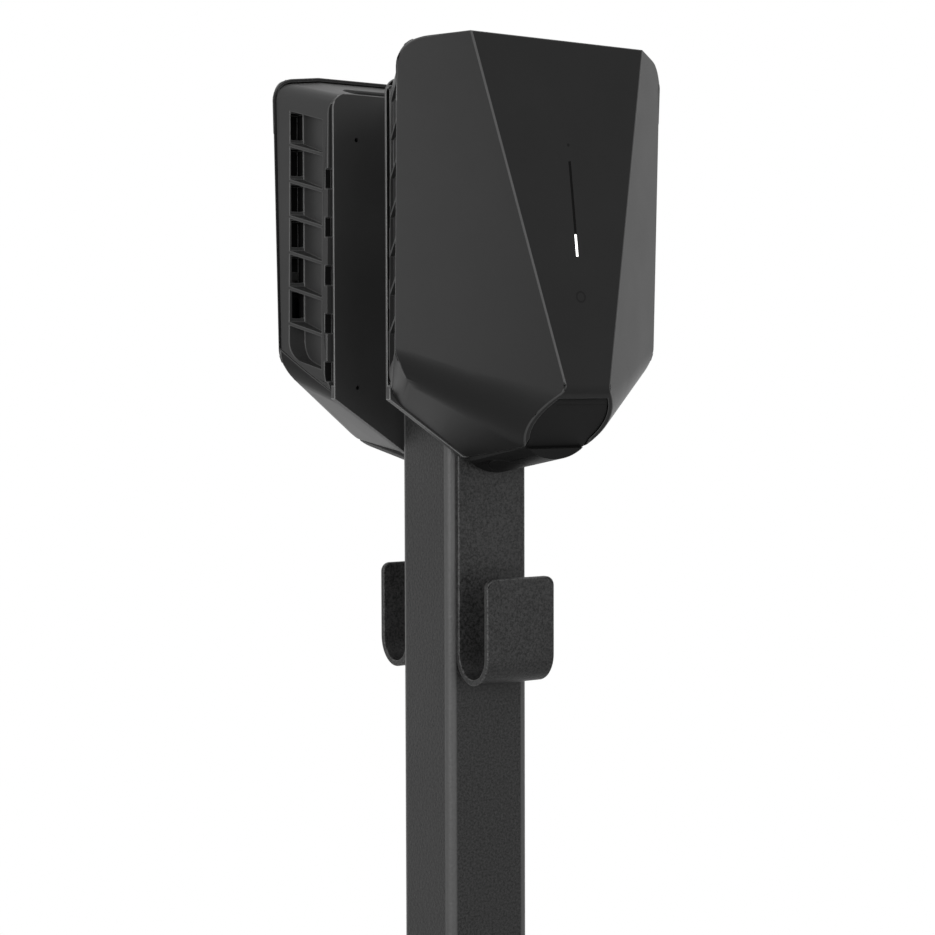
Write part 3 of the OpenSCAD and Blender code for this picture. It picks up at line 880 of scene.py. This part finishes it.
@dataclass
class Stand:
    """The column with its foot and cap, and the two plates that end in hooks.

    The weld bead has bead_steps rings along its path and bead_arc points across. Its root lies
    root_in inside the column and root_down under the column's end.
    """

    shop: Workshop
    tube_edge: SoftEdge = SoftEdge(0.5 * MM)
    foot_edge: SoftEdge = SoftEdge(1.0 * MM)
    cap_edge: SoftEdge = SoftEdge(0.6 * MM)
    sheet_edge: SoftEdge = SoftEdge(0.7 * MM)
    tube_corner: float = 5 * MM
    core_corner: float = 0.05 * MM
    bead_steps: int = 720
    bead_arc: int = 9
    bead: float = 4.5 * MM
    bead_hollow: float = 0.45
    ripple: float = 0.35 * MM
    ripple_pitch: float = 3.2 * MM
    root_in: float = 0.6 * MM
    root_down: float = 0.2 * MM

    def build(self) -> None:
        """Builds and dresses the whole stand."""
        shop = self.shop
        # The steel's rounded edges get a lighter finish as a painted highlight.
        shop.soften("column", COLUMN_COAT, self.tube_edge, "powder_coat", STEEL_EDGE_HIGHLIGHT)
        shop.soften("base_plate", STEEL_COAT, self.foot_edge, "powder_coat", STEEL_EDGE_HIGHLIGHT)
        shop.soften("column_cap", CAP_SKIN, self.cap_edge, "cap_plastic")
        for side in Side:
            plate = side.prefix + "hook_plate"
            shop.soften(plate, STEEL_COAT, self.sheet_edge, "powder_coat", STEEL_EDGE_HIGHLIGHT)
            shop.dress(plate + "_screws", SCREW_METAL)
        self.weld_bead()

    def weld_bead(self) -> None:
        """Makes the weld round the column's foot.

        The path is a rounded square that follows the column's outline. Across it the bead is a
        quarter turn between foot plate and column, whose radius is hollowed towards the middle by
        the sine of twice the angle. Along the path the radius swells and shrinks with the size of
        a sine, as the welder's ripples do. Each ring closes through a root, which is sunk into
        column and foot plate.
        """
        low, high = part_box("column")
        half = (high.x - low.x) / 2
        corner = self.tube_corner
        turns = np.linspace(0, 2 * math.pi, self.bead_steps, endpoint=False)
        length = 8 * (half - corner) + 2 * math.pi * corner
        waves = round(length / self.ripple_pitch)
        outline = rounded_square(turns, half, corner)
        outward = outline - rounded_square(turns, half - corner, self.core_corner)
        outward /= np.linalg.norm(outward, axis=1, keepdims=True)
        section = np.linspace(0, math.pi / 2, self.bead_arc)
        ripple = np.abs(np.sin(turns * waves / 2)) * self.ripple
        radius = (self.bead - self.ripple + ripple)[:, None]
        spread = radius * (1 - self.bead_hollow * np.sin(2 * section))[None, :]
        out = spread * np.cos(section)[None, :]
        rise = spread * np.sin(section)[None, :]
        points = np.zeros((len(turns), len(section), 3))
        points[..., :2] = outline[:, None, :] + outward[:, None, :] * out[..., None]
        points[..., 2] = low.z + rise
        root = np.zeros((len(turns), 1, 3))
        root[:, 0, :2] = outline - outward * self.root_in
        root[:, 0, 2] = low.z - self.root_down
        rings = np.concatenate([points, root], axis=1)
        made = mesh_of_grid("weld_bead", rings, closed_u=True, closed_v=True)
        self.shop.keep(made, STEEL_COAT, "powder_coat")


def rounded_square(turns: np.ndarray, half: float, corner: float) -> np.ndarray:
    """Follows a square with round corners. Each angle gives the outline's point in that direction.

    A ray from the centre meets a straight side or the arc at a corner, whichever is nearer.

    Args:
        turns: Angles in radians.
        half: Half the square's width.
        corner: Radius of the corners.

    Returns:
        One point in X and Y for each angle.
    """
    ray = np.stack([np.cos(turns), np.sin(turns)], axis=1)
    side = half / np.abs(ray).max(axis=1)
    centre = (half - corner) * np.sign(ray)
    along = (ray * centre).sum(axis=1)
    room = along**2 - (centre**2).sum(axis=1) + corner**2
    arc = along + np.sqrt(np.maximum(room, 0))
    straight = side[:, None] * ray
    in_corner = np.abs(straight).min(axis=1) > half - corner
    reach = np.where(in_corner, np.minimum(arc, side), side)
    return reach[:, None] * ray


@dataclass(frozen=True)
class Cut:
    """A box that is cut out of a charger's right side, and out of its left side alike.

    Each field has a low and a high end in mm: across from the middle, out from the plate that
    carries the charger, and up from the charger's top edge.
    """

    across: tuple[float, float]
    out: tuple[float, float]
    up: tuple[float, float]

    def row(self, count: int = 1, pitch: float = 0.0) -> list[np.ndarray]:
        """Repeats the box downwards.

        Args:
            count: Number of boxes.
            pitch: Distance from one to the next, in mm.

        Returns:
            The low and the high corner of each box.
        """
        first = np.array([self.across, self.out, self.up]).T
        return [first - (0.0, 0.0, pitch * step) for step in range(count)]


@dataclass
class Charger:
    """One wall-box charger with its housing, cover, nose and inner pieces.

    The slots lie at the outer ends of the louvre pockets, the notches in the housing's back edge.
    The rebate behind the back plate's rim is cut at the side, at the upper corner and at the top.
    The walls of slots, notches and rebate are painted near black as painted shade.
    """

    shop: Workshop
    side: Side
    inner: tuple[tuple[str, Finish], ...] = (
        ("back_plate_screws", SCREW_METAL),
        ("chassis_screws", SCREW_METAL),
        ("nose_screws", SCREW_METAL),
        ("circuit_board", BOARD_GREEN),
        ("board_screws", SCREW_METAL),
        ("relays", RELAY_SKIN),
        ("terminal_block", TERMINAL_SKIN),
        ("socket_block", SOCKET_SKIN),
        ("socket_contacts", CONTACT_METAL),
        ("lock_actuator", SOCKET_SKIN),
        ("lock_pin", SCREW_METAL),
        ("lid_seal", SEAL_SKIN),
        ("inner_lid", CAP_SKIN),
        ("lid_screws", SCREW_METAL),
    )
    lit_from: float = 1270.2 * MM
    lit_to: float = 1283.5 * MM
    moulded_edge: SoftEdge = SoftEdge(0.5 * MM)
    cover_edge: SoftEdge = SoftEdge(0.7 * MM, smallest=70 * MM)
    socket_cap_edge: SoftEdge = SoftEdge(0.3 * MM)
    plug_edge: SoftEdge = SoftEdge(0.4 * MM)
    slot: Cut = Cut((80.5, 89.0), (36.0, 45.0), (-44.5, -27.3))
    slots: int = 6
    slot_pitch: float = 23.4
    notch: Cut = Cut((74.5, 82.0), (6.0, 9.0), (-78.5, -65.5))
    notches: int = 5
    notch_pitch: float = 31.25
    rebate_side: Cut = Cut((74.3, 79.3), (1.9, 8.0), (-206.0, -24.5))
    rebate_corner: Cut = Cut((71.8, 79.3), (1.9, 8.0), (-23.0, -15.5))
    rebate_top: Cut = Cut((-2.0, 70.3), (1.9, 8.0), (-20.5, -15.5))

    def build(self) -> None:
        """Builds and dresses the charger."""
        shop, name, edge = self.shop, self.side.prefix, self.moulded_edge
        # The rebate, slots and notches are cut with walls painted near black as painted shade.
        rebate = self.rebate_side.row() + self.rebate_corner.row() + self.rebate_top.row()
        openings = self.slot.row(self.slots, self.slot_pitch)
        openings += self.notch.row(self.notches, self.notch_pitch)
        plate, housing = name + "back_plate", name + "chassis"
        # Plate, housing and cover get lighter rounded edges as a painted highlight.
        shop.soften(plate, PLATE_SKIN, edge, "housing_plastic", PLATE_EDGE_HIGHLIGHT, self.placed(rebate))
        shop.soften(
            housing, HOUSING_SKIN, edge, "housing_plastic", HOUSING_EDGE_HIGHLIGHT, self.placed(openings)
        )
        shop.soften(name + "nose", NOSE_SKIN, edge, "housing_plastic")
        shop.soften(name + "cover", COVER_SKIN, self.cover_edge, "cover_plastic", COVER_EDGE_HIGHLIGHT)
        shop.soften(name + "socket_cap", NOSE_SKIN, self.socket_cap_edge, "cap_plastic")
        shop.soften(name + "entry_plug", CAP_SKIN, self.plug_edge, "cap_plastic")
        light_bar = LightBar("light_plastic", self.lit_from, self.lit_to)
        shop.dress(name + "light_guide", light_bar)
        for piece, finish in self.inner:
            shop.dress(name + piece, finish)

    def placed(self, boxes: list[np.ndarray]) -> np.ndarray:
        """Mirrors boxes to the left and moves them from the charger's measures to the world.

        Args:
            boxes: Boxes of the right side, as Cut.row gives them.

        Returns:
            The boxes of both sides, in metres, as boxes_mesh takes them.
        """
        right = np.array(boxes)
        left = right.copy()
        left[:, :, 0] = -right[:, ::-1, 0]
        both = np.concatenate([right, left])
        outward = both[:, :, 1] + HALF_COLUMN + HOOK_SHEET
        both[:, :, 1] = np.sort(self.side.value * outward, axis=1)
        both[:, :, 2] += CHARGER_TOP
        return both * MM


@dataclass(frozen=True)
class Lamp:
    """A soft rectangular lamp, with its width and height in metres and its power in watts."""

    name: str
    at: Place
    size: tuple[float, float]
    power: float

    def build(self, aim: Place) -> None:
        """Adds the lamp. The camera doesn't see it.

        Args:
            aim: The place that it points at.
        """
        data = bpy.data.lights.new(self.name, "AREA")
        data.shape = "RECTANGLE"
        data.size, data.size_y = self.size
        data.energy = self.power
        lamp = bpy.data.objects.new(self.name, data)
        lamp.visible_camera = False
        turn = (Vector(aim) - Vector(self.at)).to_track_quat("-Z", "Y").to_matrix().to_4x4()
        lamp.matrix_world = Matrix.Translation(self.at) @ turn
        bpy.context.scene.collection.objects.link(lamp)


@dataclass(frozen=True)
class Studio:
    """Pale floor, white surround, soft lamps and the camera.

    The camera stands at the photograph's angle, and its focal length is given in pixels of that
    square frame. The surround lights the object at light_level. The floor's matt part ends at
    floor_matt_to and its white rim begins at floor_white_from, both as shares of its radius, and
    floor_eye is the small round opening in its middle, under the stand's foot.
    """

    camera_at: Place = (-0.6275, -1.0215, 1.1952)
    yaw: float = math.radians(31.673)
    pitch: float = math.radians(2.63)
    roll: float = math.radians(-0.167)
    focal_pixels: float = 1830.97
    frame_pixels: float = 935.0
    sensor: float = 36.0
    clip_start: float = 0.05
    light_level: float = 0.2
    floor_radius: float = 2.4
    floor_eye: float = 1 * MM
    floor_sides: int = 96
    floor_rings: int = 24
    floor_matt_to: float = 0.45
    floor_white_from: float = 0.98
    floor_glow: float = 0.55
    floor_levels: tuple[float, float] = (238, 243)
    floor_lighting_level: float = 60
    floor_grain: float = 2 * MM
    aim: Place = (0.0, 0.0, 1.1)
    lamps: tuple[Lamp, ...] = (
        Lamp("left", (-2.6, -0.6, 1.4), (1.6, 2.0), 8),
        Lamp("corner", (-2.3, -1.5, 1.4), (1.2, 1.6), 42),
        Lamp("above", (0.0, -0.6, 3.3), (1.6, 1.6), 6),
        Lamp("front", (0.0, -2.6, 1.4), (1.8, 2.0), 25),
    )

    def build(self) -> None:
        """Builds the whole studio."""
        self.camera()
        self.world()
        self.floor()
        for lamp in self.lamps:
            lamp.build(self.aim)

    def camera(self) -> None:
        """Adds the camera. Its axes come from yaw about the vertical, pitch and roll, in turn."""
        ahead = Vector(
            (
                math.sin(self.yaw) * math.cos(self.pitch),
                math.cos(self.yaw) * math.cos(self.pitch),
                -math.sin(self.pitch),
            )
        )
        level = Vector((math.cos(self.yaw), -math.sin(self.yaw), 0))
        above = level.cross(ahead)
        right = level * math.cos(self.roll) + above * math.sin(self.roll)
        up = above * math.cos(self.roll) - level * math.sin(self.roll)
        data = bpy.data.cameras.new("photo_camera")
        data.sensor_width = self.sensor
        data.lens = self.focal_pixels / self.frame_pixels * self.sensor
        data.clip_start = self.clip_start
        camera = bpy.data.objects.new("photo_camera", data)
        turn = Matrix((right, up, -ahead)).transposed().to_4x4()
        camera.matrix_world = Matrix.Translation(self.camera_at) @ turn
        bpy.context.scene.collection.objects.link(camera)
        bpy.context.scene.camera = camera

    def world(self) -> None:
        """Makes the surround, which is seen and reflected white and lights the object less."""
        world = bpy.data.worlds.new("white_surround")
        bpy.context.scene.world = world
        tree = ShaderTree(world)
        inputs = {"Color": WHITE, "Strength": self.glow(tree)}
        shader = tree.node("ShaderNodeBackground", inputs=inputs)
        tree.node("ShaderNodeOutputWorld", inputs={"Surface": shader})

    def glow(self, tree: ShaderTree) -> Wire:
        """Makes the strength of a white glow, which is full for rays that show it.

        Args:
            tree: The tree that gets the nodes.

        Returns:
            1 for rays that look, reflect or pass through, else the surround's light level.
        """
        looks, reflects, passes = (
            tree.node("ShaderNodeLightPath", output=kind) for kind in RAYS_THAT_SEE
        )
        seen = tree.math("MAXIMUM", tree.math("MAXIMUM", looks, reflects), passes)
        return seen * (1 - self.light_level) + self.light_level

    def floor(self) -> None:
        """Adds a round pale floor that keeps the shadow and fades into the surround at its rim.

        It is a disc of rings. A matt coat that takes the shadow is mixed with the surround's glow,
        whose share rises to 1 towards the rim. The coat is darker for the rays that light the
        object, so that little light comes from below.
        """
        turns = np.linspace(0, 2 * math.pi, self.floor_sides, endpoint=False)
        reach = np.linspace(self.floor_eye, self.floor_radius, self.floor_rings)
        points = np.zeros((len(reach), len(turns), 3))
        points[..., 0] = reach[:, None] * np.cos(turns)
        points[..., 1] = reach[:, None] * np.sin(turns)
        floor = mesh_of_grid("floor", points, closed_u=False, closed_v=True)
        material = bpy.data.materials.new("pale_floor")
        tree = ShaderTree(material)
        settings = {"operation": "LENGTH"}
        reached = tree.node("ShaderNodeVectorMath", settings, {0: tree.place()}, output="Value")
        matt_to, white_from = self.floor_matt_to, self.floor_white_from
        fade = reached.ramp(self.floor_radius * matt_to, self.floor_radius * white_from)
        dark, light = (grey(level) for level in self.floor_levels)
        shown = tree.mix(tree.noise(self.floor_grain), dark, light)
        lighting = tree.node("ShaderNodeLightPath", output="Is Diffuse Ray")
        colour = tree.mix(lighting, shown, grey(self.floor_lighting_level))
        coat = {"Base Color": colour, "Roughness": 0.8, "Specular IOR Level": 0.2}
        matt = tree.node("ShaderNodeBsdfPrincipled", inputs=coat)
        white = {"Color": WHITE, "Strength": self.glow(tree)}
        bright = tree.node("ShaderNodeEmission", inputs=white)
        share = fade * (1 - self.floor_glow) + self.floor_glow
        mixed = tree.node("ShaderNodeMixShader", inputs={0: share, 1: matt, 2: bright})
        tree.node("ShaderNodeOutputMaterial", inputs={"Surface": mixed})
        floor.data.materials.append(material)


def main() -> None:
    """Builds the camera, the stand and both chargers."""
    logging.basicConfig(level=logging.INFO, format="%(name)s: %(message)s")
    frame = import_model()
    bpy.context.scene.view_settings.view_transform = "Standard"
    Studio().build()
    shop = Workshop(frame["nodes"], Palette())
    Stand(shop).build()
    for side in Side:
        Charger(shop, side).build()


if __name__ == "__main__":
    main()
